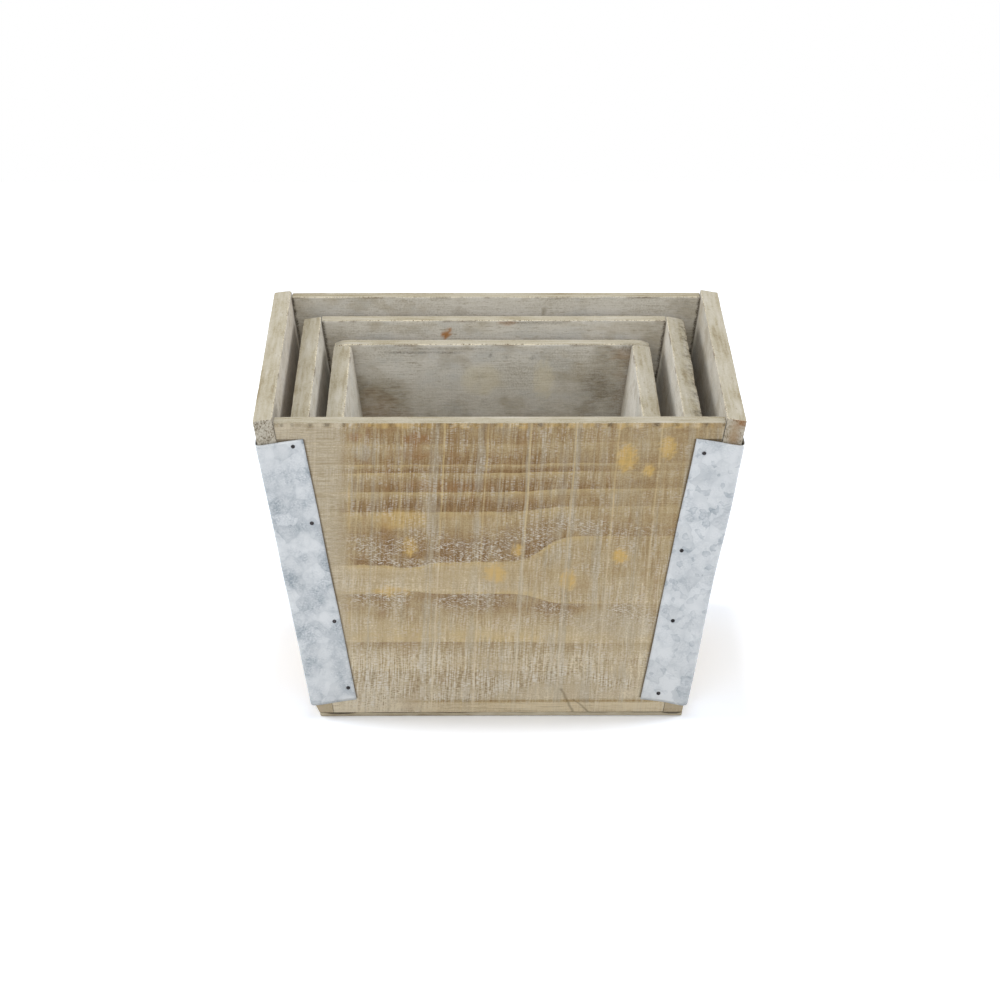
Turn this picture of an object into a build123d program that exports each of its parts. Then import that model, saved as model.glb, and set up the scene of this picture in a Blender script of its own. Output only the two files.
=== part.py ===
from build123d import *
import os
from math import cos, radians, sin, tan

# A nest of three open wooden planter boxes, tapered towards the foot, with sheet-metal corner straps.
# Millimetres. +Z is up, the front looks along -Y, the origin is the middle of the largest underside.

# Largest box, over the outer top edges of its boards
LARGE_WIDTH = 270.0
LARGE_DEPTH = 224.0
LARGE_HEIGHT = 192.0

# Lean of every wall away from upright, in degrees
WALL_LEAN = 8.8

# Boards
SIDE_THICKNESS = 11.0
FRONT_THICKNESS = 10.0
BASE_THICKNESS = 2.5
FRONT_RIM_STEP = 1.0  # front boards end this far below the outer top edge of the sides
LARGE_BACK_RISE = -0.2  # outer top edge of the large back board above that of the sides
SMALLER_BACK_RISE = 0.9  # the same on the medium and small boxes
BACK_TOP_FALL = 3.0  # tops of the back boards fall outwards, in degrees

# How each box sits in the next larger one
NEST_GAP = 7.75  # level gap between facing walls when a box stands in the middle
NEST_SHIFT = -1.5  # along X, how far off the middle each box was set down
MEDIUM_RIM_DROP = 9.5  # below the large rim
SMALL_RIM_DROP = 8.5  # below the medium rim

# Corner straps, bent from sheet
STRAP_SHEET = 0.5
STRAP_LEG = 25.5
STRAP_RIM_GAP = 14.5  # from the rim down to the strap, at the corner
STRAP_FOOT_GAP = 8.0  # from the underside up to the strap, at the corner

# Nails that hold the straps, four to a leg and driven by eye: the first number is the share of the way
# from the highest place to the lowest, the second the distance in from the free edge of the leg
STRAP_NAIL_PATTERNS = (
    ((0.0, 6.2), (0.30, 4.6), (0.695, 3.4), (0.97, 3.4)),
    ((0.028, 6.0), (0.41, 5.2), (0.69, 8.8), (0.99, 9.6)),
)
STRAP_NAIL_END_GAP = 3.7  # from the strap's ends to the highest and the lowest place
STRAP_NAIL_HEAD_RADIUS = 1.2
STRAP_NAIL_HEAD_HEIGHT = 0.5
STRAP_NAIL_LENGTH = 8.0

# Headless pins through the ends of the outer boards into the ends of the boards between them
PINS_PER_CORNER = 3
PIN_END_GAP = 32.0
PIN_BITE = 7.0

# Flat-headed nails up through the base sheet into the walls
BASE_NAIL_CORNER_GAP = 26.0
BASE_NAIL_SPACING = 55.0
BASE_NAIL_HEAD_RADIUS = 1.6
BASE_NAIL_HEAD_HEIGHT = 0.6
BASE_NAIL_BITE = 13.0

# Every nail and pin
SHANK_RADIUS = 0.6
POINT_LENGTH = 1.6
HOLE_CLEARANCE = 0.05  # between a shank or head and its hole, on the radius

LEAN = radians(WALL_LEAN)
UP = Vector(0, 0, 1)
FRONT, BACK = Vector(0, -1, 0), Vector(0, 1, 0)
LEFT, RIGHT = Vector(-1, 0, 0), Vector(1, 0, 0)
BLOCK_SIZE = 4 * (LARGE_WIDTH + LARGE_DEPTH + LARGE_HEIGHT)


class PlanterBox:
    """One box about the Z axis: outer size at its rim, heights of underside and rim, rise of its back
    board, which boards run through at the corners, and the shift along X to where it stands."""

    def __init__(self, name, shift, width, depth, foot, rim, back_rise, sides_run_through):
        self.name = name
        self.shift = shift
        self.width = width
        self.depth = depth
        self.foot = foot
        self.rim = rim
        self.back_rise = back_rise
        self.sides_run_through = sides_run_through

    def half_size(self, outward, height):
        """Level distance from the middle to the outside of one wall at a height."""
        half_at_rim = abs(outward.X) * self.width / 2 + abs(outward.Y) * self.depth / 2
        return half_at_rim - (self.rim - height) * tan(LEAN)

    def corner(self, side, front, height):
        """Point on the outer corner edge between a side wall and a front or back wall."""
        level = side * self.half_size(side, height) + front * self.half_size(front, height)
        return level + UP * height

    def outer_middle(self, outward, height):
        """Point on the outside of one wall, half-way along it, at a height."""
        return outward * self.half_size(outward, height) + UP * height

    def outer_plane(self, outward):
        """Outside of one wall, facing out and a little down."""
        at_rim = self.outer_middle(outward, self.rim)
        return Plane(origin=at_rim, z_dir=outward * cos(LEAN) - UP * sin(LEAN))

    def top_plane(self, outward):
        """Top of one wall: square to the board at the sides, level in front, nearly level at the back."""
        if outward.X:
            height, fall = self.rim, LEAN
        elif outward.Y < 0:
            height, fall = self.rim - FRONT_RIM_STEP, 0.0
        else:
            height, fall = self.rim + self.back_rise, radians(BACK_TOP_FALL)
        outer_edge = self.outer_middle(outward, height)
        return Plane(origin=outer_edge, z_dir=outward * sin(fall) + UP * cos(fall))

    def smaller(self, name, rim_drop, sides_run_through):
        """The box that stands on this one's base, smaller by the nest gap all round."""
        rim = self.rim - rim_drop
        wall_of_side = SIDE_THICKNESS / cos(LEAN) + NEST_GAP
        wall_of_front = FRONT_THICKNESS / cos(LEAN) + NEST_GAP
        width = 2 * (self.half_size(RIGHT, rim) - wall_of_side)
        depth = 2 * (self.half_size(BACK, rim) - wall_of_front)
        foot = self.foot + BASE_THICKNESS
        shift = self.shift + NEST_SHIFT
        return PlanterBox(name, shift, width, depth, foot, rim, SMALLER_BACK_RISE, sides_run_through)


def thickness_of(outward):
    """Thickness of the board that faces a given way."""
    return SIDE_THICKNESS if outward.X else FRONT_THICKNESS


def level_plane(height, facing):
    return Plane(origin=UP * height, z_dir=facing)


def sawn(planes):
    """What is left of a large block after a cut along each plane, on the side it faces away from."""
    piece = Box(BLOCK_SIZE, BLOCK_SIZE, BLOCK_SIZE)
    for plane in planes:
        piece = split(piece, bisect_by=plane, keep=Keep.BOTTOM)
    return piece


def wall_board(box, outward, neighbours):
    """One wall, sawn to its faces, its top, the base under it and its neighbours at the ends."""
    outside = box.outer_plane(outward)
    behind = outside.offset(-thickness_of(outward))
    inside = Plane(origin=behind.origin, z_dir=-behind.z_dir)
    bottom = level_plane(box.foot + BASE_THICKNESS, -UP)
    runs_through = box.sides_run_through == bool(outward.X)
    ends = [box.outer_plane(neighbour) for neighbour in neighbours]
    if not runs_through:
        ends = [end.offset(-thickness_of(neighbour)) for end, neighbour in zip(ends, neighbours)]
    return sawn([outside, inside, box.top_plane(outward), bottom, *ends])


def base_sheet(box):
    """Thin sheet under the walls, its edges in line with them."""
    walls = [box.outer_plane(outward) for outward in (FRONT, BACK, LEFT, RIGHT)]
    return sawn([*walls, level_plane(box.foot + BASE_THICKNESS, UP), level_plane(box.foot, -UP)])


def turned(points):
    """Round solid about Z from (radius, height) points."""
    return revolve(Plane.XZ * make_face(Polyline(*points, close=True)), axis=Axis.Z)


def strap_nail():
    """Low domed head above the origin, pointed shank below it."""
    return turned([
        (0, -STRAP_NAIL_LENGTH),
        (SHANK_RADIUS, POINT_LENGTH - STRAP_NAIL_LENGTH),
        (SHANK_RADIUS, 0),
        (STRAP_NAIL_HEAD_RADIUS, 0),
        (STRAP_NAIL_HEAD_RADIUS * 0.9, STRAP_NAIL_HEAD_HEIGHT * 0.6),
        (STRAP_NAIL_HEAD_RADIUS * 0.5, STRAP_NAIL_HEAD_HEIGHT),
        (0, STRAP_NAIL_HEAD_HEIGHT),
    ])


def wall_pin(length):
    """Headless pin, its blunt end at the origin."""
    return turned([(0, -length), (SHANK_RADIUS, POINT_LENGTH - length), (SHANK_RADIUS, 0), (0, 0)])


def base_nail():
    """Flat head flush with the origin, pointed shank below it."""
    length = BASE_THICKNESS + BASE_NAIL_BITE
    return turned([
        (0, -length),
        (SHANK_RADIUS, POINT_LENGTH - length),
        (SHANK_RADIUS, -BASE_NAIL_HEAD_HEIGHT),
        (BASE_NAIL_HEAD_RADIUS, -BASE_NAIL_HEAD_HEIGHT),
        (BASE_NAIL_HEAD_RADIUS, 0),
        (0, 0),
    ])


def hole(radius, depth):
    """Clearance hole from just above the origin down to a depth."""
    above = STRAP_SHEET
    cylinder = Cylinder(radius + HOLE_CLEARANCE, depth + HOLE_CLEARANCE + above)
    return Pos(0, 0, above - (depth + HOLE_CLEARANCE + above) / 2) * cylinder


class CornerStrap:
    """Right-angled strap on one corner: where its legs lie and where its nails go in."""

    def __init__(self, box, side, front, patterns):
        self.low_end = box.corner(side, front, box.foot + STRAP_FOOT_GAP)
        self.high_end = box.corner(side, front, box.rim - STRAP_RIM_GAP)
        rise = self.high_end - self.low_end
        self.length = rise.length
        self.up = rise.normalized()
        self.patterns = patterns
        self.legs = []
        for outward, other in ((front, side), (side, front)):
            normal = box.outer_plane(outward).z_dir
            along = self.up.cross(normal).normalized()
            if along.dot(other) > 0:
                along = -along
            self.legs.append((normal, along))

    def nail_places(self):
        """Planes on the outside of the legs, one to a nail, facing out."""
        places = []
        between_ends = self.length - 2 * STRAP_NAIL_END_GAP
        for (normal, along), pattern in zip(self.legs, self.patterns):
            for share, edge_gap in pattern:
                down = STRAP_NAIL_END_GAP + share * between_ends
                across = along * (STRAP_LEG - edge_gap) + normal * STRAP_SHEET
                places.append(Plane(origin=self.high_end - self.up * down + across, z_dir=normal))
        return places

    def solid(self):
        """Bent sheet with square ends, rounded outside at the bend."""
        (normal_a, along_a), (normal_b, along_b) = self.legs
        corner = self.low_end
        bend = corner + (normal_a + normal_b) * (STRAP_SHEET / (1 + normal_a.dot(normal_b)))
        end_a = corner + along_a * STRAP_LEG
        end_b = corner + along_b * STRAP_LEG
        outline = Polyline(
            end_a, corner, end_b, end_b + normal_b * STRAP_SHEET, bend, end_a + normal_a * STRAP_SHEET,
            close=True,
        )
        strap = extrude(make_face(outline), amount=self.length, dir=self.up)
        bend_edge = strap.edges().sort_by_distance(bend + self.up * (self.length / 2))[0]
        strap = fillet(bend_edge, STRAP_SHEET)
        shank_hole = hole(SHANK_RADIUS, STRAP_NAIL_LENGTH)
        return strap - [place * shank_hole for place in self.nail_places()]


def pin_places(box):
    """Planes on the outer boards' faces where pins go into the ends of the boards between them."""
    places = []
    lowest = box.foot + PIN_END_GAP
    pitch = (box.rim - PIN_END_GAP - lowest) / (PINS_PER_CORNER - 1)
    for side in (LEFT, RIGHT):
        for front in (FRONT, BACK):
            outer, between = (side, front) if box.sides_run_through else (front, side)
            inset = between * (thickness_of(between) / 2 / cos(LEAN))
            for step in range(PINS_PER_CORNER):
                entry = box.corner(side, front, lowest + step * pitch) - inset
                places.append(Plane(origin=entry, z_dir=box.outer_plane(outer).z_dir))
    return places


def base_nail_places(box):
    """Planes on the underside, facing down, in rows under the middle of each wall."""
    places = []
    middle_of_bite = box.foot + BASE_THICKNESS + BASE_NAIL_BITE / 2
    for outward, along in ((FRONT, RIGHT), (BACK, RIGHT), (LEFT, BACK), (RIGHT, BACK)):
        wall_middle = box.half_size(outward, middle_of_bite) - thickness_of(outward) / 2 / cos(LEAN)
        reach = box.half_size(along, box.foot) - BASE_NAIL_CORNER_GAP
        gaps = max(1, round(2 * reach / BASE_NAIL_SPACING))
        for step in range(gaps + 1):
            at = outward * wall_middle + along * (reach * (2 * step / gaps - 1)) + UP * box.foot
            places.append(Plane(origin=at, z_dir=-UP))
    return places


def build(box):
    """All the pieces of one box, by node name."""
    pieces = {
        "front_board": wall_board(box, FRONT, (LEFT, RIGHT)),
        "back_board": wall_board(box, BACK, (LEFT, RIGHT)),
        "left_board": wall_board(box, LEFT, (FRONT, BACK)),
        "right_board": wall_board(box, RIGHT, (FRONT, BACK)),
        "base_sheet": base_sheet(box),
    }
    first, second = STRAP_NAIL_PATTERNS
    straps = {
        "strap_front_left": CornerStrap(box, LEFT, FRONT, (first, second)),
        "strap_front_right": CornerStrap(box, RIGHT, FRONT, (second, first)),
        "strap_back_left": CornerStrap(box, LEFT, BACK, (second, first)),
        "strap_back_right": CornerStrap(box, RIGHT, BACK, (first, second)),
    }
    strap_places = [place for strap in straps.values() for place in strap.nail_places()]
    outer_thickness = SIDE_THICKNESS if box.sides_run_through else FRONT_THICKNESS
    pin_length = outer_thickness + PIN_BITE
    pins = pin_places(box)
    base_places = base_nail_places(box)

    holes = [place * hole(SHANK_RADIUS, STRAP_NAIL_LENGTH) for place in strap_places]
    holes += [place * hole(SHANK_RADIUS, pin_length) for place in pins]
    holes += [place * hole(SHANK_RADIUS, BASE_THICKNESS + BASE_NAIL_BITE) for place in base_places]
    holes += [place * hole(BASE_NAIL_HEAD_RADIUS, BASE_NAIL_HEAD_HEIGHT) for place in base_places]
    for name, board in pieces.items():
        pieces[name] = board - [cut for cut in holes if touches(board, cut)]

    for name, strap in straps.items():
        pieces[name] = strap.solid()
    pieces["strap_nails"] = Compound([place * strap_nail() for place in strap_places])
    pieces["wall_pins"] = Compound([place * wall_pin(pin_length) for place in pins])
    pieces["base_nails"] = Compound([place * base_nail() for place in base_places])
    return pieces


def touches(board, cut):
    """Whether the boxes round two solids meet, so that a cut is worth making."""
    a, b = board.bounding_box(), cut.bounding_box()
    lows = (max(a.min.X, b.min.X), max(a.min.Y, b.min.Y), max(a.min.Z, b.min.Z))
    highs = (min(a.max.X, b.max.X), min(a.max.Y, b.max.Y), min(a.max.Z, b.max.Z))
    return all(low < high for low, high in zip(lows, highs))


large = PlanterBox(
    "large", 0.0, LARGE_WIDTH, LARGE_DEPTH, 0.0, LARGE_HEIGHT, LARGE_BACK_RISE, sides_run_through=True
)
medium = large.smaller("medium", MEDIUM_RIM_DROP, sides_run_through=True)
small = medium.smaller("small", SMALL_RIM_DROP, sides_run_through=False)

os.makedirs("parts", exist_ok=True)
for box in (large, medium, small):
    for piece_name, piece in build(box).items():
        export_step(Pos(box.shift, 0, 0) * piece, f"parts/{box.name}_{piece_name}.step")
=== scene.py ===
import math
from functools import partial

import bpy
import numpy as np
from mathutils import Matrix


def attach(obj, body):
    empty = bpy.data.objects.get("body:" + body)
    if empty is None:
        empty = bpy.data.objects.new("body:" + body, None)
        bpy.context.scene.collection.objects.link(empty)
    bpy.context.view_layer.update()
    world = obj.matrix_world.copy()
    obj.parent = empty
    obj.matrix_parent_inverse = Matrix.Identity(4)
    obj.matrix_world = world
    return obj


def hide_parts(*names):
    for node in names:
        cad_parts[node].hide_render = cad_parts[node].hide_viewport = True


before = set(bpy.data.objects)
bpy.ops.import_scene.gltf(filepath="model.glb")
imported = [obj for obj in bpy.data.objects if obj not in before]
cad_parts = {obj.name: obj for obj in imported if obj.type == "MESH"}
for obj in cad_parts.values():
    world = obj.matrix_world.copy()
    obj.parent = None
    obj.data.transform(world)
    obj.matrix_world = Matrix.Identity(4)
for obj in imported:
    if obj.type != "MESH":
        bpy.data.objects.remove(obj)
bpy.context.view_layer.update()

# Large front board
# One wide rough-sawn softwood board, leaning out, with a thin grey wash rubbed over it and the growth
# rings lying along it. It fits between the side boards and is pinned through them.
WALL_LEAN = math.radians(8.8)
UPWARD = np.array([0.0, 0.0, 1.0])
SIDES = {"front": (0, -1, 0), "back": (0, 1, 0), "left": (-1, 0, 0), "right": (1, 0, 0)}


def wall_axes(side):
    """Three directions of a leaning wall: along it, up its slope, and out of its face."""
    outward = np.array(SIDES[side], float)
    along = np.cross(UPWARD, outward)
    slope = UPWARD * math.cos(WALL_LEAN) + outward * math.sin(WALL_LEAN)
    facing = outward * math.cos(WALL_LEAN) - UPWARD * math.sin(WALL_LEAN)
    return np.stack([along, slope, facing])


def solid_corners(node, axes):
    """Eight corners of a CAD board: for each mix of ends along the three axes, the farthest vertex."""
    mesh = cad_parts[node].data
    points = np.empty(len(mesh.vertices) * 3)
    mesh.vertices.foreach_get("co", points)
    points = points.reshape(-1, 3)
    ends = np.stack(np.meshgrid([-1, 1], [-1, 1], [-1, 1], indexing="ij"), -1)
    return points[np.argmax(points @ (ends @ axes).reshape(8, 3).T, axis=0)].reshape(2, 2, 2, 3)


NEAR_EDGE = np.array([0, 0.3, 0.7, 1.2, 1.9, 2.8]) / 1000
EVEN_INSET = 0.004


def edge_rich(length, step):
    """Places along one side of a board: close together near both edges, then evenly spaced."""
    count = max(2, round((length - 2 * EVEN_INSET) / step)) + 1
    middle = np.linspace(EVEN_INSET, length - EVEN_INSET, count)
    return np.concatenate([NEAR_EDGE, middle, (length - NEAR_EDGE)[::-1]])


def box_skin(first, second, third):
    """Closed skin of a block: lattice points on its six faces, and quads between neighbours, facing out."""
    counts = (len(first), len(second), len(third))
    number = np.arange(np.prod(counts)).reshape(counts)
    sides = []
    for axis in range(3):
        for end, turned in ((0, axis != 1), (-1, axis == 1)):
            sheet = np.take(number, end, axis)
            around = [sheet[:-1, :-1], sheet[1:, :-1], sheet[1:, 1:], sheet[:-1, 1:]]
            quads = np.stack(around, -1).reshape(-1, 4)
            sides.append(quads[:, ::-1] if turned else quads)
    used, quads = np.unique(np.concatenate(sides), return_inverse=True)
    i, j, k = np.unravel_index(used, counts)
    return np.stack([first[i], second[j], third[k]], 1), quads.reshape(-1, 4)


WAVES = 7


def ripple(points, seed, length):
    """Smooth unevenness, about -1 to 1: sine waves in seeded directions, each about a length long."""
    draw = np.random.default_rng(seed)
    ways = draw.normal(size=(WAVES, points.shape[1]))
    ways /= np.linalg.norm(ways, axis=1, keepdims=True)
    rates = 2 * math.pi / (length * draw.uniform(0.6, 1.7, WAVES))
    starts = draw.uniform(0, 6.28, WAVES)
    return 1.6 * np.sin(points @ (ways * rates[:, None]).T + starts).mean(1)


def held(value):
    """Value held between nothing and one."""
    return np.clip(value, 0, 1)


def bell(value, middle, width):
    """Bell curve: one at the middle, about a third at a width from it on either side."""
    return np.exp(-(((value - middle) / width) ** 2))


def climb(value, start, width):
    """Straight climb from nothing at a start to one a width on, held beyond; a negative one counts down."""
    return held((value - start) / width)


def s_curve(value, middle, width):
    """Smooth climb from nothing to one about a middle; a negative width counts down."""
    return 1 / (1 + np.exp(-(value - middle) / width))


def worn_block(points, sizes, radius):
    """Block with worn edges: a point goes to the core inset by the radius, then out again by the radius.
    The way out is the way the surface faces there."""
    radius = radius[:, None]
    core = np.clip(points, radius, sizes - radius)
    way_out = points - core
    way_out /= np.linalg.norm(way_out, axis=1, keepdims=True)
    return core + way_out * radius, way_out


def between_corners(share, corners):
    """Trilinear blend of eight corners by three shares from 0 to 1."""
    blend = corners[None]
    for axis in range(3):
        part = share[:, axis].reshape((-1,) + (1,) * (blend.ndim - 2))
        blend = blend[:, 0] * (1 - part) + blend[:, 1] * part
    return blend


scene = bpy.context.scene
NOTE_KINDS = {1: ("FLOAT", "value"), 3: ("FLOAT_VECTOR", "vector"), 4: ("FLOAT_COLOR", "color")}


def new_piece(name, body, points, quads, finish, notes):
    """Smooth mesh from points and quads, with named values kept at its points, riding on a body."""
    mesh = bpy.data.meshes.new(name)
    mesh.from_pydata(points.tolist(), [], quads.tolist())
    mesh.polygons.foreach_set("use_smooth", np.ones(len(quads), bool))
    for note, values in notes.items():
        kind, slot = NOTE_KINDS[values.size // len(values)]
        kept = mesh.attributes.new(note, kind, "POINT")
        kept.data.foreach_set(slot, values.astype(np.float32).ravel())
    mesh.materials.append(finish)
    piece = bpy.data.objects.new(name, mesh)
    scene.collection.objects.link(piece)
    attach(piece, body)
    return piece


def inside_straps(box_name, side, axes, middle_foot, grain):
    """How far each point of a board lies inside the inner edges of its two straps.
    Above and below the straps it is a metre."""
    nearest = np.ones(len(grain))
    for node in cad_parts:
        if node.startswith(f"{box_name}_strap_") and f"_{side}" in node:
            corners = (solid_corners(node, axes) - middle_foot) @ axes.T
            hand = np.sign(corners[..., 0].mean())
            low, high = corners[0 if hand > 0 else 1, :, 1]
            share = (grain[:, 1] - low[1]) / (high[1] - low[1])
            inside = hand * (low[0] + share * (high[0] - low[0]) - grain[:, 0])
            nearest = np.where((share > 0) & (share < 1), np.minimum(nearest, inside), nearest)
    return nearest


# Kinds of marks kept at a board's points; on inner faces the wash and dark kinds also carry painted shade.
MARK_KINDS = ("stain", "ochre", "wash", "dark")
EDGE_REACH = 0.005
TOP_REACH = 0.006
LEAST_RADIUS = 0.0002
MOST_RADIUS = 0.0044
WARP = 0.00012
TORN_FULL = 0.002
INNER = -10
SPOT_DEPTH = 0.003
JOINT_WIDTH = 0.0009
SEED_SHIFT = np.array([0.37, 0.23, 0.11])


def board(box_name, side, steps, seed, wear, ring_rule, mark_rule,
          inner_wear=0.0, torn=0.0, foot_wear=0.0, corner_drop=0.0, spots=(), crack_rule=None):
    """Sawn board over a CAD board: a block with worn edges and a slight warp, between the solid's corners.
    Kept at its points: place in the board, growth ring, strength of the dark wood, face and torn grain,
    marks, shade, how smooth it is, and how far inside the straps it lies. A spot gives its kind, its place
    along, up and out of the board, where INNER is the inner face, its half sizes along and up, all in
    millimetres, and its strength."""
    node = f"{box_name}_{side}_board"
    axes = wall_axes(side)
    corners = solid_corners(node, axes)
    edges = [np.take(corners, 1, axis) - np.take(corners, 0, axis) for axis in range(3)]
    sizes = np.array([np.linalg.norm(edge, axis=-1).mean() for edge in edges])
    block, quads = box_skin(*(edge_rich(length, step) for length, step in zip(sizes, steps)))
    run, rise = block[:, :1], block[:, 1:2]
    to_end = np.minimum(block[:, 0], sizes[0] - block[:, 0])
    to_top = sizes[1] - block[:, 1]
    to_level_end = np.minimum(block[:, 1], to_top)

    radius = wear * (1 + 0.4 * ripple(block, seed, 0.03) + 0.35 * ripple(block, seed + 1, 0.009))
    radius += 0.5 * wear * ripple(run, seed + 16, 0.0045)
    radius *= np.interp(block[:, 1], [0, 0.02], [0.3, 1])
    radius += 0.4 * wear * bell(to_end, 0, EDGE_REACH) * bell(to_level_end, 0, EDGE_REACH)
    inner_rim = bell(block[:, 2], 0, EDGE_REACH) * bell(to_top, 0, TOP_REACH)
    radius += inner_wear * inner_rim * np.clip(0.7 + 0.8 * ripple(run, seed + 3, 0.045), 0, 1.6)
    outer_rim = bell(block[:, 2], sizes[2], EDGE_REACH) * bell(to_top, 0, TOP_REACH)
    ragged = 0.35 + 0.8 * ripple(run, seed + 4, 0.05) + 0.6 * ripple(run, seed + 14, 0.012)
    radius += torn * outer_rim * np.clip(ragged, 0, 1.8)
    worn, way_out = worn_block(block, sizes, np.clip(radius, LEAST_RADIUS, MOST_RADIUS))
    sunk = WARP * (1 + ripple(block, seed + 2, 0.07)) * np.abs(way_out[:, 2])
    worn[:, 2] -= sunk * np.sign(way_out[:, 2])
    worn[:, 1] -= corner_drop * bell(to_end, 0, 0.0035) * climb(to_top, 0.03, -0.03)
    front_foot = bell(block[:, 0], sizes[0], 0.03) * climb(block[:, 1], 0.014, -0.014) ** 1.5
    worn[:, 2] *= 1 - foot_wear / sizes[2] * front_foot
    places = between_corners(worn / sizes, corners)

    middle_foot = corners[:, 0, 1].mean(0)
    grain = (places - middle_foot) @ axes.T
    squares = way_out ** 2
    outer = squares[:, 2] * (way_out[:, 2] > 0)
    faces = np.stack([outer, squares[:, 1], squares[:, 0], squares[:, 2] - outer], 1)
    ring, late, torn_grain = ring_rule(grain, seed)
    marks, shade, planed = mark_rule(grain, faces, sizes, seed)
    for number, (kind, *measures, strength) in enumerate(spots):
        along, up, out, half_along, half_up = np.array(measures) / 1000
        spot = blot(grain, along, up, half_along, half_up, seed + 40 + number)
        spot *= strength * bell(grain[:, 2], out, SPOT_DEPTH)
        column = MARK_KINDS.index(kind)
        marks[:, column] = np.maximum(marks[:, column], spot)
    pit_luck = 0.3 + 0.6 * ripple(run, seed + 15, 0.016) + 0.7 * ripple(block[:, ::2], seed + 20, 0.0036)
    pits = torn / TORN_FULL * outer_rim * held(pit_luck)
    jagged = 0.0006 * ripple(rise, seed + 19, 0.012) + 0.0005 * ripple(rise, seed + 22, 0.004)
    joint = faces[:, 3] * held(1.8 - (to_end + 0.6 * jagged) / JOINT_WIDTH)
    marks[:, 3] = np.clip(np.max([marks[:, 3], pits, joint], 0), 0, 0.95)
    faces[:, 3] = torn_grain
    notes = {
        "grain": grain + seed * SEED_SHIFT, "ring": ring, "late": late, "faces": faces, "marks": marks,
        "shade": shade, "planed": planed,
        "strap_edge": inside_straps(box_name, side, axes, middle_foot, grain),
    }
    if crack_rule:
        notes["cracks"] = crack_rule(grain, faces)
    piece = new_piece(f"{box_name}_{side}_wood", f"{box_name}_box", places, quads, washed_wood, notes)
    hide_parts(node)


def blot(grain, along, up, half_along, half_up, seed):
    """Soft-edged blot with an uneven outline about a point of a board."""
    distance = ((grain[:, 0] - along) / half_along) ** 2 + ((grain[:, 1] - up) / half_up) ** 2
    return held(1.35 - distance + 0.55 * ripple(grain[:, :2], seed, 0.6 * half_along))


BASE_THICKNESS = 0.0025
RING_LINES = np.array([
    (0.0, 4, 0.2), (0.031, 3, 0.5), (0.042, 2.75, 0.6), (0.046, 2.4, 0.8), (0.0503, 2, 0.9),
    (0.066, 1.75, 0.9), (0.075, 1.4, 1.0), (0.083, 1, 1.0), (0.093, 0.45, 0), (0.104, 1, 0.95),
    (0.1368, 2, 0.85), (0.1494, 3, 1.0), (0.1618, 4, 0.85), (0.1667, 5, 0.8), (0.1798, 6, 0.3),
    (0.2, 7, 0.3),
])
RIGHT_LIFTS = np.array([
    (0.02, 0), (0.05, -0.001), (0.08, -0.0075), (0.093, 0), (0.107, 0.014), (0.121, 0.017), (0.137, 0.004),
    (0.16, 0.001),
])
BAY_DIPS = np.array([(0.06, 0), (0.084, 0.002), (0.093, 0), (0.1, -0.0018), (0.13, 0)])
LEFT_SAGS = np.array([(0.09, 0), (0.1, -0.0022), (0.13, 0)])


def front_rings(grain, seed):
    """Flat-sawn rings from listed lines: each line gives its height, its ring and the strength of its dark
    wood.
    The lines are bowed round a pale middle band: on the right its upper edge is lifted and its lower edge
    lowered, on the left the upper edge sags. Heights are from the underside of the box."""
    along, up = grain[:, 0], grain[:, 1] + BASE_THICKNESS
    lift = np.interp(up, *RIGHT_LIFTS.T) * s_curve(along, 0.023, 0.005)
    dip = np.interp(up, *BAY_DIPS.T) * bell(along, -0.051, 0.010)
    sag = np.interp(up, *LEFT_SAGS.T) * s_curve(along, -0.040, -0.004)
    level = up - lift - dip - sag + 0.0003 * ripple(grain[:, :2], seed + 5, 0.012)
    heights, rings, strengths = RING_LINES.T
    calm = (1 - 0.7 * s_curve(along, 0.05, 0.012)) * (1 - 0.75 * s_curve(along, -0.085, -0.004))
    above = climb(level, 0.1035, 0.0008) * climb(level, 0.129, -0.01)
    below = climb(level, 0.0834, -0.0008) * climb(level, 0.068, 0.009)
    torn_grain = (above + below) * calm + 0.5 * blot(grain, 0.066, 0.062, 0.026, 0.010, 50)
    dark_wood = np.interp(level, heights, strengths) * calm
    return np.interp(level, heights, rings), dark_wood, held(1.1 * torn_grain)


OCHRE_DABS = (
    (70, 168.5, 5.5, 8.5), (92.5, 175, 4.5, 7), (82, 160.5, 3, 4), (67.5, 105.3, 4.2, 5), (10, 109.5, 3, 4),
    (-50, 111.5, 4, 6), (-2, 94, 6, 6), (38.5, 89.3, 4.3, 7), (-60, 82, 9, 3.5),
)
# Shade up the front board: paler towards the foot, partly the wood's own colour and partly painted light
# that makes up for the weaker light low on the board.
FRONT_SHADES = np.array([
    (0.0025, 0.35), (0.012, 0.27), (0.03, 0.20), (0.05, 0.13), (0.09, 0.08), (0.125, -0.03), (0.19, -0.08),
])


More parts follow.
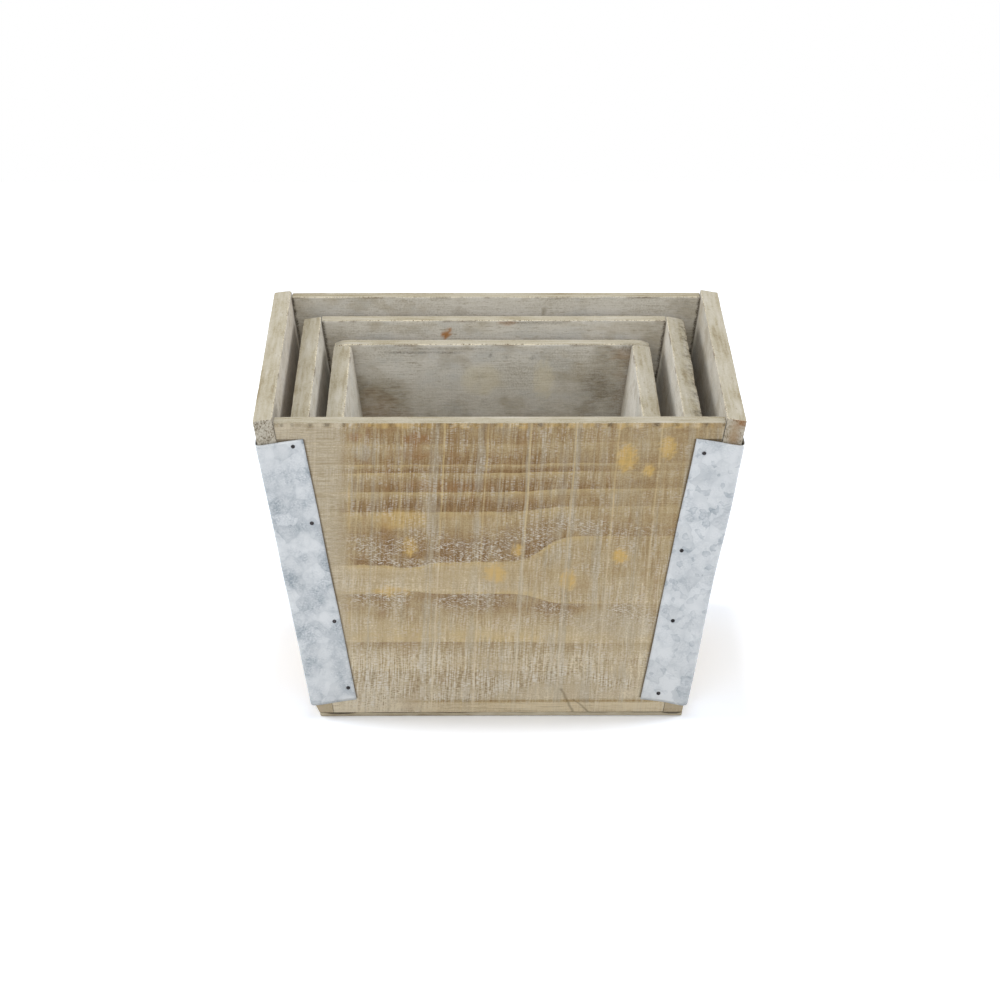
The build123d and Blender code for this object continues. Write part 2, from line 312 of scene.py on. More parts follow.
def front_marks(grain, faces, sizes, seed):
    """Red-brown stain, ochre dabs, rubbed wash and dark spots of the front board, in that order, its shade,
    and how smooth it is: smoothest at the left end and the foot, then in the pale middle band and the top
    right. A dab gives its place along and up the board and its half sizes, in millimetres."""
    along, up = grain[:, 0], grain[:, 1] + BASE_THICKNESS
    run, rise = grain[:, :1], grain[:, 1:2]
    smooth_left = s_curve(along, -0.0855, -0.003)
    foot_strip = climb(up, 0.0098, -0.001) * s_curve(along, -0.045, 0.003)
    calm_band = climb(front_rings(grain, seed)[0], 1, -0.12) * s_curve(along, 0.02, -0.008)
    calm_top = climb(up, 0.125, 0.015) * s_curve(along, 0.045, 0.01)
    rim_luck = ripple(run, 4, 0.02) + 0.8 * ripple(run, 24, 0.006)
    rim_strip = climb(up + 0.0012 * ripple(run, 44, 0.008), 0.1899, 0.0008)

    stain = blot(grain, -0.046, 0.1805, 0.008, 0.004, 1) + blot(grain, -0.0796, 0.182, 0.004, 0.003, 2)
    stain += 0.5 * blot(grain, -0.047, 0.172, 0.009, 0.005, 3)
    stain += 0.5 * blot(grain, -0.03, 0.151, 0.03, 0.004, 7)
    dabs = [blot(grain, *np.array(dab) / 1000, 20 + number) for number, dab in enumerate(OCHRE_DABS)]
    ochre = 1.1 * np.max(dabs, 0) + 0.55 * blot(grain, -0.055, 0.129, 0.015, 0.006, 30)
    ochre += rim_strip * held(0.5 + 0.5 * rim_luck) * (1 - 0.8 * smooth_left)
    streak = bell(along + 0.02 * (0.19 - up), -0.0822, 0.0009) * held(0.5 + ripple(rise, 5, 0.06))
    ochre += 0.5 * streak + 0.4 * foot_strip + 0.12 * calm_band
    wash = 0.75 * smooth_left * np.clip(up / 0.12, 0.4, 1) + blot(grain, -0.075, 0.172, 0.005, 0.006, 6)
    wash += 0.7 * rim_strip * held(-0.2 - rim_luck)
    wash += 0.55 * blot(grain, 0.066, 0.060, 0.026, 0.012, 51)
    dashes = climb(up, 0.1908, 0.0006) * np.clip(1.6 * ripple(run, 9, 0.008) - 0.4, 0, 0.6)

    # Paler towards the foot: partly the wood's own colour, partly painted light.
    shade = np.interp(up, *FRONT_SHADES.T)
    shade += 0.05 * s_curve(along, 0.05, 0.02) * (up > 0.1) + 0.06 * calm_band
    shade += smooth_left * np.interp(up, [0.08, 0.19], [0.08, 0.33])
    shade += 0.4 * rim_strip * np.clip(rim_luck, -0.5, 0.8)
    shade += 0.5 * bell(up, 0.0068, 0.0016) * s_curve(along, 0.012, 0.006)
    shade -= 0.34 * bell(up, 0.0102, 0.0011) * s_curve(along, -0.045, 0.006)
    planed = np.max([0.75 * smooth_left, 0.7 * foot_strip, 0.4 * calm_band, 0.4 * calm_top], 0)
    outer = faces[:, 0]
    marks = np.stack([stain, ochre, wash, dashes], 1) * outer[:, None]
    return held(marks), shade * outer, held(planed)


def front_cracks(grain, faces):
    """Two slanted cracks at the foot: level distance from each crack's line, a metre above its top, and the
    share of the outer face."""
    along, up = grain[:, 0], grain[:, 1] + BASE_THICKNESS
    rise = grain[:, 1:2]
    first = along - 0.0356 - 0.43 * (0.0192 - up) - 0.0004 * ripple(rise, 8, 0.006)
    second = along - 0.0424 - 1.05 * (0.0118 - up) - 0.0005 * ripple(rise, 18, 0.005)
    first = np.where(up < 0.0195, first, 1.0)
    second = np.where(up < 0.0122, second, 1.0)
    return np.stack([first, second, faces[:, 0]], 1)


def paint(red, green, blue):
    """Colour written as sRGB, 0 to 255, turned into linear light."""
    share = np.array([red, green, blue]) / 255
    return (*np.where(share <= 0.04045, share / 12.92, ((share + 0.055) / 1.055) ** 2.4).tolist(), 1.0)


class Finish:
    """A material or a world in the making: each call adds nodes and gives back the last one's output."""

    def __init__(self, name, family="materials"):
        self.made = getattr(bpy.data, family).new(name)
        self.made.use_nodes = True
        self.tree = self.made.node_tree
        self.surface = self.tree.nodes["Principled BSDF" if family == "materials" else "Background"]

    def join(self, socket, value):
        if isinstance(value, bpy.types.NodeSocket):
            self.tree.links.new(value, socket)
        else:
            socket.default_value = value

    def show(self, **values):
        """Values or outputs for the surface, by the name of the input with _ for a space."""
        for name, value in values.items():
            self.join(self.surface.inputs[name.replace("_", " ")], value)

    def add(self, kind, inputs, output=0, **settings):
        node = self.tree.nodes.new("ShaderNode" + kind)
        for key, value in settings.items():
            setattr(node, key, value)
        for key, value in inputs.items():
            self.join(node.inputs[key], value)
        return node.outputs[output]

    def note(self, name, output="Fac"):
        """Value kept at the piece's points."""
        return self.add("Attribute", {}, output, attribute_name=name)

    def parts(self, colour):
        """Red, green and blue of a colour."""
        return self.add("SeparateColor", {0: colour}).node.outputs

    def counted(self, place, sizes, turn):
        """Place turned about the third axis and counted in the given sizes in metres."""
        inputs = {"Vector": place, "Rotation": (0, 0, turn), "Scale": sizes}
        return self.add("Mapping", inputs, vector_type="TEXTURE")

    def noise(self, place, sizes, detail=2.0, roughness=0.5, turn=0.0):
        """Cloudy value, about 0.5, whose spots have the given sizes in metres."""
        spot = self.counted(place, sizes, turn)
        return self.add("TexNoise", {"Vector": spot, "Scale": 1.0, "Detail": detail, "Roughness": roughness})

    def bent(self, place, rate, middle, reach):
        """Place shifted by coloured noise of a rate per metre, less a middle, times a reach."""
        sway = self.add("TexNoise", {"Vector": place, "Scale": rate, "Detail": 2.0}, "Color")
        sway = self.add("VectorMath", {0: sway, 1: (middle, middle, middle)}, operation="SUBTRACT")
        return self.add("VectorMath", {0: sway, 1: reach, 2: place}, operation="MULTIPLY_ADD")

    def calc(self, work, first, second=0.0, third=0.0, clamp=False):
        return self.add("Math", {0: first, 1: second, 2: third}, operation=work, use_clamp=clamp)

    def times(self, first, *others, clamp=False):
        """Product of values."""
        for value in others:
            first = self.calc("MULTIPLY", first, value, clamp=clamp)
        return first

    def plus(self, first, *others, clamp=False):
        """Sum of values."""
        for value in others:
            first = self.calc("ADD", first, value, clamp=clamp)
        return first

    def fade(self, value, low, high, start=0.0, end=1.0):
        """Value from low to high turned into start to end, held beyond."""
        return self.add("MapRange", {0: value, 1: low, 2: high, 3: start, 4: end})

    def swing(self, value, reach):
        """Noise turned into a swing of a reach to either side of nothing."""
        return self.fade(value, 0.25, 0.75, -reach, reach)

    def mix(self, share, first, second):
        return self.add("Mix", {0: share, 6: first, 7: second}, 2, data_type="RGBA")

    def coat(self, under, share, *colour):
        """Colour in sRGB laid over another by a share."""
        return self.mix(share, under, paint(*colour))

    def ramp(self, value, *stops):
        """Colour by a value: a stop gives a place and a colour in sRGB, or a place and a plain level."""
        output = self.add("ValToRGB", {0: value})
        rows = output.node.color_ramp.elements
        while len(rows) < len(stops):
            rows.new(0.5)
        for row, (place, *colour) in zip(rows, stops):
            row.position = place
            row.color = paint(*colour) if len(colour) == 3 else (*colour * 3, 1.0)
        return output

    def relief(self, height, depth, strength=1.0):
        self.show(Normal=self.add("Bump", {"Strength": strength, "Distance": depth, "Height": height}))


SAW_LEAN = math.radians(-2.8)


def washed_wood_finish():
    """Rough-sawn softwood under a thin grey wash: saw marks across the grain, fibres along it, dark ring
    edges with torn white flecks, stains and dabs on the outside; greyer inside, paler on the rims, speckled
    on the ends."""
    wood = Finish("grey_washed_wood_look")
    straight = wood.note("grain", "Vector")
    grain = wood.bent(straight, 60.0, 0.5, (0.0016, 0.0016, 0.0016))
    ring, late, shade, planed = (wood.note(name) for name in ("ring", "late", "shade", "planed"))
    sawn = wood.calc("SUBTRACT", 1.0, planed)
    outer, rim, end = wood.parts(wood.note("faces", "Color"))
    stain, ochre, wash = wood.parts(wood.note("marks", "Color"))
    dark_spot = wood.note("marks", "Alpha")

    cloud = partial(wood.noise, grain)
    saw_fine = cloud((0.0011, 0.010, 0.05), 3.0, 0.65, SAW_LEAN)
    saw_long = cloud((0.0017, 0.05, 0.05), 2.0, 0.6, SAW_LEAN)
    saw_wide = cloud((0.005, 0.06, 0.05), 3.0, 0.6, SAW_LEAN)
    fibre = cloud((0.022, 0.0008, 0.002), 3.0, 0.6)
    short_fibre = cloud((0.0055, 0.0008, 0.002), 2.0, 0.6)
    patch = cloud((0.035, 0.02, 0.02), 4.0)
    rough = cloud((0.03, 0.013, 0.03), 3.0, 0.6)
    mottle = cloud((0.018, 0.011, 0.02), 4.0, 0.6)
    grit = cloud((0.0010, 0.0008, 0.001), 2.0, 0.7)
    dots = cloud((0.0009, 0.0014, 0.0012), 2.0, turn=SAW_LEAN)
    band = cloud((0.05, 0.009, 0.03), 2.0)

    def saw_steps(width, loose):
        """Steps left by the saw: sheared distance along the board over a width, loosened by noise."""
        place = wood.counted(grain, (width, 1, 1), SAW_LEAN)
        drift = wood.noise(straight, (3 * width, 0.4, 9.0), 1.0, turn=SAW_LEAN)
        return wood.plus(wood.add("SeparateXYZ", {0: place}), wood.fade(drift, 0.2, 0.8, -loose, loose))

    def step_luck(steps):
        """One seeded number to each step."""
        return wood.add("TexWhiteNoise", {"W": wood.calc("FLOOR", steps)}, noise_dimensions="1D")

    def ridge(width, loose):
        """Wash gathered towards the far side of a step, where it stops short."""
        steps = saw_steps(width, loose)
        stops = ((0.0, 0), (0.935, 0), (0.96, 0.7), (0.985, 1), (0.992, 0))
        return wood.times(
            wood.ramp(wood.calc("FRACT", steps), *stops), wood.fade(step_luck(steps), 0.1, 0.8, 0.45, 1.0)
        )

    column = wood.fade(cloud((0.012, 0.02, 0.05), 2.0, turn=SAW_LEAN), 0.25, 0.75, -0.8, -0.2)
    for width, share in ((0.0075, 0.24), (0.0027, 0.40), (0.0011, 0.36)):
        column = wood.calc("MULTIPLY_ADD", step_luck(saw_steps(width, 1.1)), share, column)
    column = wood.calc("MULTIPLY_ADD", column, sawn, 0.5)

    ring_share = wood.calc("FRACT", wood.plus(ring, wood.fade(grit, 0.2, 0.8, -0.03, 0.03)))
    ring_dark = wood.ramp(ring_share, (0.0, 1), (0.3, 0.85), (0.6, 0.4), (0.8, 0))
    dark_wood = wood.times(ring_dark, late, wood.fade(band, 0.3, 0.7, 0.55, 1.35))
    ring_pale = wood.ramp(ring_share, (0.66, 0), (0.86, 0.4), (0.96, 1))
    pale_wood = wood.times(ring_pale, late, wood.fade(mottle, 0.38, 0.6, 0.2, 0.9))

    tone = wood.plus(wood.swing(saw_fine, 0.17), wood.swing(saw_long, 0.11), wood.swing(saw_wide, 0.10))
    tone = wood.times(tone, sawn, wood.fade(shade, 0.0, 0.15, 1.0, 0.75))
    tone = wood.plus(tone, wood.swing(fibre, 0.08), wood.swing(patch, 0.12), wood.swing(grit, 0.18))
    uneven_dark = wood.times(dark_wood, wood.fade(column, 0.25, 0.75, 1.2, 0.75))
    outside_tone = wood.calc("MULTIPLY_ADD", uneven_dark, -0.38, tone)
    # The kept shade lifts the tone. On the front board its rise towards the foot is partly painted light,
    # and the palest ramp stop below serves it.
    outside_tone = wood.plus(outside_tone, wood.plus(shade, 0.62), clamp=True)
    outside = wood.ramp(
        outside_tone, (0.0, 112, 84, 54), (0.3, 146, 120, 85), (0.55, 173, 152, 115),
        (0.8, 193, 177, 146), (1.0, 234, 222, 195),
    )
    outside = wood.coat(outside, wood.times(pale_wood, 0.85), 208, 184, 130)
    brown = wood.mix(wood.fade(mottle, 0.42, 0.58), paint(158, 132, 94), paint(148, 113, 77))
    brown_share = wood.times(wood.fade(column, 0.44, 0.12, 0.0, 0.5), wood.fade(shade, -0.08, 0.1, 1.0, 0.5))
    outside = wood.mix(brown_share, outside, brown)
    rust = wood.fade(cloud((0.012, 0.008, 0.02), 4.0, 0.6, SAW_LEAN), 0.56, 0.75, 0.0, 0.3)
    stain_share = wood.times(wood.plus(stain, rust), wood.fade(saw_fine, 0.35, 0.6, 0.25, 0.85), clamp=True)
    outside = wood.coat(outside, stain_share, 146, 104, 66)
    ochre_share = wood.times(ochre, wood.fade(saw_fine, 0.35, 0.65, 0.6, 1.0), clamp=True)
    outside = wood.coat(outside, ochre_share, 210, 176, 106)

    grey_share = wood.calc("MAXIMUM", wood.fade(column, 0.5, 0.8, 0.0, 0.5), wood.times(wash, 0.6))
    grey_wash = wood.ramp(
        wood.plus(tone, 0.5), (0.1, 146, 138, 121), (0.5, 175, 166, 149), (0.9, 194, 188, 176)
    )
    outside = wood.mix(grey_share, outside, grey_wash)
    # Pale coat where the shade is high, towards the front board's foot: partly painted light.
    outside = wood.coat(outside, wood.fade(shade, 0.06, 0.26, 0.0, 0.4), 204, 194, 175)
    smooth = wood.fade(planed, 0.3, 0.75, 0.0, 0.75)
    dark_fibre = wood.times(smooth, wood.fade(fibre, 0.52, 0.3, 0.0, 0.8))
    outside = wood.coat(outside, dark_fibre, 152, 132, 98)
    pale_fibre = wood.times(smooth, wood.fade(short_fibre, 0.52, 0.68, 0.0, 0.7))
    outside = wood.coat(outside, pale_fibre, 220, 208, 180)
    knit_rows = cloud((0.0024, 0.0008, 0.01), 1.0)
    knit_columns = cloud((0.0009, 0.016, 0.05), 1.0, turn=SAW_LEAN)
    knit_zone = wood.times(wood.fade(rough, 0.40, 0.58, 0.05, 1.0), sawn)
    knit_zone = wood.times(knit_zone, wood.fade(shade, 0.12, 0.2, 0.5, 1.0))
    # Painted shade: dark dashes in the hollows between the saw crests, where the knit pattern is low.
    hollow_shade = wood.times(wood.fade(knit_columns, 0.52, 0.42), wood.fade(knit_rows, 0.54, 0.44))
    outside = wood.coat(outside, wood.times(hollow_shade, knit_zone, 0.58), 122, 100, 70)
    crest = wood.times(wood.fade(knit_columns, 0.46, 0.58), wood.fade(knit_rows, 0.42, 0.56))
    specks = wood.times(crest, knit_zone, 0.95)
    outside = wood.coat(outside, specks, 218, 212, 201)
    ridges = wood.calc("MAXIMUM", ridge(0.0238, 0.08), wood.times(ridge(0.009, 1.2), 0.4))
    ridges = wood.times(ridges, wood.fade(rough, 0.35, 0.6, 0.25, 0.85))
    ridge_colour = wood.mix(wood.fade(shade, -0.06, 0.1), paint(212, 190, 141), paint(220, 208, 183))
    outside = wood.mix(ridges, outside, ridge_colour)
    flecks = wood.calc(
        "MAXIMUM",
        cloud((0.0030, 0.0007, 0.01), 2.0, 0.6, math.radians(16)),
        cloud((0.0026, 0.0007, 0.01), 2.0, 0.6, math.radians(-24)),
    )
    torn_grain = wood.times(wood.note("faces", "Alpha"), wood.fade(rough, 0.41, 0.52, 0.15, 1.0))
    # Painted shadow: dark brown between and under the torn white flecks.
    fleck_shadow = wood.times(wood.fade(flecks, 0.55, 0.47, 0.0, 0.35), torn_grain)
    outside = wood.coat(outside, fleck_shadow, 126, 103, 74)
    fleck_share = wood.times(wood.fade(flecks, 0.57, 0.645), torn_grain)
    outside = wood.coat(outside, fleck_share, 216, 209, 198)
    first, second, on_face = wood.add("SeparateXYZ", {0: wood.note("cracks", "Vector")}).node.outputs
    crack = wood.calc("MINIMUM", wood.calc("ABSOLUTE", first), wood.calc("ABSOLUTE", second))
    crack_share = wood.times(wood.fade(crack, 0.0013, 0.0002, 0.0, 0.42), on_face)
    outside = wood.coat(outside, crack_share, 92, 74, 50)
    # Painted shadow: a dark line on the wood just inside each strap's inner edge, where the strap stands
    # off.
    strap_edge_shadow = wood.fade(wood.note("strap_edge"), 0.0013, 0.0003, 0.0, 0.7)
    outside = wood.coat(outside, strap_edge_shadow, 74, 60, 43)

    inside_tone = wood.plus(wood.swing(fibre, 0.24), wood.fade(patch, 0.25, 0.75, 0.2, 0.8))
    inside_tone = wood.plus(inside_tone, wood.swing(grit, 0.24), wood.swing(dots, 0.16))
    inside = wood.ramp(inside_tone, (0.0, 167, 160, 145), (0.45, 203, 199, 188), (1.0, 217, 213, 205))
    inside = wood.coat(inside, wood.fade(rough, 0.5, 0.66, 0.0, 0.45), 182, 183, 179)
    inside = wood.coat(inside, wood.fade(mottle, 0.52, 0.72, 0.0, 0.55), 166, 155, 132)
    inside = wood.coat(inside, wood.fade(short_fibre, 0.58, 0.72, 0.0, 0.55), 138, 126, 104)
    # Soil and painted shade inside: the wash mark darkens the inner faces, patchily, deeper below the rim
    # and towards the corners.
    streaky = wood.plus(cloud((0.006, 0.0015, 0.003), 3.0, 0.65), mottle)
    soil_and_shade = wood.times(wash, wood.fade(streaky, 0.8, 1.2, 0.45, 1.0), clamp=True)
    soil_and_shade_colour = wood.ramp(short_fibre, (0.35, 118, 107, 87), (0.65, 166, 156, 136))
    inside = wood.mix(soil_and_shade, inside, soil_and_shade_colour)
    inside = wood.coat(inside, wood.times(stain, 0.9), 162, 106, 42)
    inside = wood.coat(inside, ochre, 216, 204, 168)

    streak = cloud((0.05, 0.002, 0.0022), 3.0, 0.6)
    rim_tone = wood.plus(wood.swing(streak, 0.3), wood.fade(patch, 0.25, 0.75, 0.15, 0.85))
    rim_tone = wood.plus(rim_tone, wood.swing(fibre, 0.2), wood.swing(grit, 0.22))
    on_rim = wood.ramp(rim_tone, (0.0, 146, 134, 108), (0.4, 175, 167, 146), (1.0, 195, 190, 177))
    on_rim = wood.coat(on_rim, wood.fade(short_fibre, 0.62, 0.74, 0.0, 0.45), 134, 120, 92)
    # Rounded rim edges spotted by a dot pattern: the pale spots are a painted highlight along the worn edge,
    # the dark spots dark marks on it.
    worn_edge_highlight = wood.times(wood.fade(rim, 0.97, 0.7), wood.fade(mottle, 0.38, 0.58, 0.25, 0.95))
    edge_colour = wood.mix(wood.fade(dots, 0.38, 0.5), paint(118, 102, 76), paint(226, 217, 192))
    on_rim = wood.mix(worn_edge_highlight, on_rim, edge_colour)

    pores = cloud((0.01, 0.0016, 0.0009), 3.0, 0.7)
    on_end = wood.ramp(
        wood.plus(pores, wood.fade(ring_share, 0.0, 1.0, -0.06, 0.06)),
        (0.34, 108, 98, 82), (0.45, 174, 166, 150), (0.6, 204, 199, 186),
    )
    end_wash = wood.mix(fibre, paint(176, 156, 124), paint(190, 178, 154))
    on_end = wood.mix(wood.times(wash, 0.85), on_end, end_wash)
    on_end = wood.coat(on_end, wood.times(stain, 0.85), 150, 104, 58)

    colour = wood.mix(outer, inside, outside)
    colour = wood.mix(wood.fade(rim, 0.3, 0.6), colour, on_rim)
    colour = wood.mix(wood.fade(end, 0.3, 0.6), colour, on_end)
    # Dark marks: pits, joints, dashes and spots, some spots being painted shade.
    dark_share = wood.times(dark_spot, wood.fade(grit, 0.62, 0.42, 0.45, 1.0))
    colour = wood.coat(colour, dark_share, 56, 47, 35)
    wood.show(Base_Color=colour, Roughness=wood.fade(patch, 0.2, 0.8, 0.82, 0.96), Specular_IOR_Level=0.25)
    height = wood.plus(wood.times(saw_fine, outer), wood.times(fibre, 0.5))
    height = wood.plus(height, wood.times(wood.plus(fleck_share, specks), 0.4))
    wood.relief(height, 0.0005, 0.5)
    return wood.made


washed_wood = washed_wood_finish()
FRONT_STEPS = (0.00125, 0.00125, 0.002)
board("large", "front", FRONT_STEPS, 11, 0.0004, front_rings, front_marks, crack_rule=front_cracks)


# Large side and back boards
# The same stock as the front. The side boards run through at the corners, so their end grain shows in front.
# Their inner top edges are worn and torn in places.
def trunk_rings(grain, seed):
    """Rings about a pith beside the board: distance from a centre line that wanders along the board, over
    the ring width. The grain is torn just past the dark edge of the stronger rings."""
    draw = np.random.default_rng(seed)
    up_middle = draw.uniform(0.03, 0.16) + 0.012 * ripple(grain[:, :1], seed + 6, 0.25)
    depth = -draw.uniform(0.012, 0.05) + draw.uniform(-0.08, 0.08) * grain[:, 0]
    ring = np.hypot(grain[:, 1] - up_middle, grain[:, 2] - depth) / draw.uniform(0.0075, 0.012)
    late = np.clip(0.5 + 0.4 * ripple(grain[:, :2], seed + 7, 0.09), 0.1, 1)
    return ring, late, held(1.2 * late - 0.6) * held(1.2 - 1.6 * (ring % 1))


def plain_marks(grain, faces, sizes, seed):
    """Stains and wash of a board with nothing special: splinters and dark dashes under the rim inside, soil
    and painted shade low down inside, painted shade in the inner corners, browner feet on the ends, and a
    few seeded dabs outside."""
    outer, inner, end = faces[:, 0], faces[:, 3], faces[:, 2]
    run, flat = grain[:, :1], grain[:, :2]
    below_rim = sizes[1] - grain[:, 1]
    ragged = ripple(run, seed + 8, 0.045) + 0.5 * ripple(run, seed + 18, 0.011)
    dashes = bell(below_rim, 0.0034, 0.0009) * held(1.6 * ragged - 0.1)
    frayed = ripple(run, seed + 17, 0.03) + 0.6 * ripple(run, seed + 21, 0.008)
    splinters = bell(below_rim, 0.0018, 0.0009) * held(1.5 * frayed - 0.2)
    rust = held(0.5 * ripple(flat, seed + 9, 0.05) - 0.45)
    dabs = held(ripple(flat, seed + 10, 0.03) - 0.75) * 2
    half_run = sizes[0] / 2 + math.sin(WALL_LEAN) * (grain[:, 1] - sizes[1] / 2)
    # Painted shade: the inner faces darken towards both corners, and deeper below the rim, laid on patchily
    # like soil.
    corner = bell(np.abs(grain[:, 0]), half_run, 0.016)
    soil_and_shade = climb(below_rim, 0.02, 0.035) * held(0.8 + 0.3 * ripple(flat, seed + 11, 0.06))
    stain = rust * outer + 0.2 * dashes * inner
    ochre = dabs * outer + 0.9 * splinters * inner
    wash = outer * held(0.4 * ripple(flat, seed + 12, 0.06))
    wash += inner * (0.9 * soil_and_shade + 0.8 * dashes + 0.55 * corner)
    wash += end * held(1.4 - grain[:, 1] / 0.03)
    marks = np.stack([stain, ochre, wash, 0.7 * inner * dashes], 1)
    return held(marks), 0.05 * ripple(flat, seed + 13, 0.1), np.zeros(len(grain))


PLAIN_STEPS = (0.0014, 0.003, 0.002)
BACK_STEPS = (0.0014, 0.0012, 0.002)


def plain_board(box_name, side, seed, wear, inner_wear, **extras):
    """Board with seeded rings and plain marks. Back boards face the viewer and have a finer lattice."""
    steps = BACK_STEPS if side == "back" else PLAIN_STEPS
    board(box_name, side, steps, seed, wear, trunk_rings, plain_marks, inner_wear, **extras)


plain_board("large", "back", 12, 0.0005, 0.0006, spots=(
    ("wash", -112, 186, INNER, 9, 6, 0.6), ("wash", -29, 182, INNER, 1.5, 3, 0.8),
    ("wash", 22, 181, INNER, 5, 3, 0.5),
))
plain_board("large", "left", 13, 0.0005, 0.001, foot_wear=0.003, spots=(
    ("stain", 0, 150, INNER, 250, 100, 0.08), ("dark", 92, 186, INNER, 15, 5, 0.6),
    ("dark", 112, 5, -8, 4, 1.5, 0.5), ("dark", 112, 2.5, -2, 5, 1.5, 0.5),
    # The stain at the foot of the front end is browner end grain and painted shadow under the strap's lower
    # end.
    ("stain", 112, 9, -6, 8, 3.5, 0.4),
))
plain_board("large", "right", 14, 0.0005, 0.0005, spots=(
    # The wash over the inner face darkens it further, and the dark band low on it is painted shade in the
    # gap beside the medium box.
    ("wash", 0, 150, INNER, 250, 100, 0.35), ("dark", 0, 130, INNER, 400, 32, 0.75),
    ("stain", -112, 140, -5, 9, 80, 0.5), ("stain", -112, 190, -2.5, 6, 2.2, 0.9),
    # The last stain, at the foot of the front end, is browner end grain and painted shadow under the strap's
    # lower end.
    ("wash", -112, 182, -6, 6, 9, 0.9), ("stain", -112, 9, -6, 8, 3.5, 0.35),
))


# Base sheets
# A thin sheet of plywood under the four walls of each box, held by flat-headed nails driven up from below.
# Its edge shows as a seam at the foot, open in places.
def thin_ply_finish():
    """Rotary-cut veneer: long soft figure along X on the faces, a dusty grey-brown tone, and an edge that
    darkens unevenly where it meets the walls."""
    ply = Finish("thin_plywood_look")
    place = ply.add("TexCoord", {}, "Object")
    figure = ply.noise(place, (0.09, 0.006, 0.02), 4.0, 0.6)
    pores = ply.noise(place, (0.006, 0.0006, 0.003), 2.0)
    tone = ply.plus(figure, ply.fade(pores, 0.3, 0.7, -0.12, 0.12))
    veneer = ply.ramp(tone, (0.3, 164, 150, 124), (0.5, 188, 177, 153), (0.7, 202, 193, 172))
    seam_foot = ply.calc("MULTIPLY_ADD", ply.note("gap"), -0.45, 1.0)
    seam = ply.times(ply.calc("GREATER_THAN", ply.note("height"), seam_foot), 0.8)
    ply.show(Base_Color=ply.coat(veneer, seam, 52, 44, 34), Roughness=ply.fade(figure, 0.3, 0.7, 0.8, 0.92))
    ply.relief(pores, 0.0002, 0.5)
    return ply.made


def steel_finish(name, dark, light, metallic):
    """Nail steel: blotchy tone from dark to light, with uneven gloss."""
    steel = Finish(name)
    place = steel.add("TexCoord", {}, "Object")
    blotch = steel.noise(place, (0.0012, 0.0012, 0.0012), 3.0, 0.6)
    colour = steel.ramp(blotch, (0.35, *dark), (0.65, *light))
    steel.show(Base_Color=colour, Roughness=steel.fade(blotch, 0.3, 0.7, 0.3, 0.5), Metallic=metallic)
    return steel.made


def dress(node, finish):
    """A CAD solid keeps its shape and gets a finish in all its slots."""
    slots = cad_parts[node].data.materials
    slots.clear()
    slots.append(finish)


BASE_STEP = 0.004
BASE_LAYERS = 9
BASE_RADIUS = 0.0004
NAIL_HEAD_ROOM = 0.00015


def base(box_name, seed, corner_wear, gaps):
    """Sheet over a CAD base sheet: a block with soft edges set between the solid's corners, its front left
    corner worn off by a bell curve, and its underside a hair above the nail heads. A gap gives its middle
    and its half width along the front."""
    node = f"{box_name}_base_sheet"
    corners = solid_corners(node, np.eye(3))
    sizes = (corners[1, 1, 1] - corners[0, 0, 0] + corners[1, 1, 0] - corners[0, 0, 1]) / 2
    sizes[2] = corners[0, 0, 1, 2] - corners[0, 0, 0, 2]
    layers = np.linspace(0, sizes[2], BASE_LAYERS)
    block, quads = box_skin(edge_rich(sizes[0], BASE_STEP), edge_rich(sizes[1], BASE_STEP), layers)
    worn, _ = worn_block(block, sizes, BASE_RADIUS * (1 + 0.6 * ripple(block, seed, 0.012)))
    worn[:, 0] += corner_wear * bell(block[:, 0], 0, 0.012) * bell(block[:, 1], 0, 0.022)
    worn[:, 2] = np.maximum(worn[:, 2], NAIL_HEAD_ROOM)
    along = block[:, 0] - sizes[0] / 2
    gap = 0.12 + 0.25 * ripple(block[:, :2], seed + 1, 0.02)
    for middle, half in gaps:
        gap += np.exp(-(((along - middle) / half) ** 4))
    notes = {"height": worn[:, 2] / sizes[2], "gap": np.clip(gap, 0.05, 1)}
    places = between_corners(worn / sizes, corners)
    piece = new_piece(f"{box_name}_base_ply", f"{box_name}_box", places, quads, thin_ply, notes)
    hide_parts(node)


thin_ply = thin_ply_finish()
plain_steel = steel_finish("plain_steel_look", (120, 118, 114), (168, 167, 164), 0.9)
WIDE_GAPS = ((-0.1115, 0.0035), (-0.092, 0.008), (0.1, 0.004))
base("large", 15, 0.003, WIDE_GAPS)
base("medium", 25, 0.0005, ())
base("small", 35, 0.0005, ())
for box_name in ("large", "medium", "small"):
    dress(f"{box_name}_base_nails", plain_steel)
    dress(f"{box_name}_wall_pins", plain_steel)

# Corner straps of the large box
# Right-angled straps bent from galvanised sheet, with dull spangle. Each is tight to the wood only at its
# nails and bows a little away between them, most at the bend.
STRAP_SHEET = 0.0005
STRAP_LEG = 0.0255
STRAP_RIM_GAP = 0.0145
STRAP_FOOT_GAP = 0.008
STRAP_BEND = 0.0016
STRAP_STEP = 0.002
STRAP_LEG_POINTS = 18
STRAP_BEND_POINTS = 9
STRAP_LEAST_GAP = 0.00003
STRAP_NAIL_END_GAP = 0.0037
STRAP_NAIL_PATTERNS = (
    ((0.0, 0.0062), (0.30, 0.0046), (0.695, 0.0034), (0.97, 0.0034)),
    ((0.028, 0.0060), (0.41, 0.0052), (0.69, 0.0088), (0.99, 0.0096)),
)


def box_edge(box_name, front, side):
    """Outer corner edge of a box, from its foot to its rim, as far out as any of its boards."""
    corners = np.concatenate([
        solid_corners(f"{box_name}_{name}_board", wall_axes(name)).reshape(-1, 3) for name in SIDES
    ])
    outward = corners @ np.add(SIDES[front], SIDES[side])
    low = corners[:, 2] < corners[:, 2].mean()
    return [corners[np.argmax(np.where(near, outward, -1))] for near in (low, ~low)]


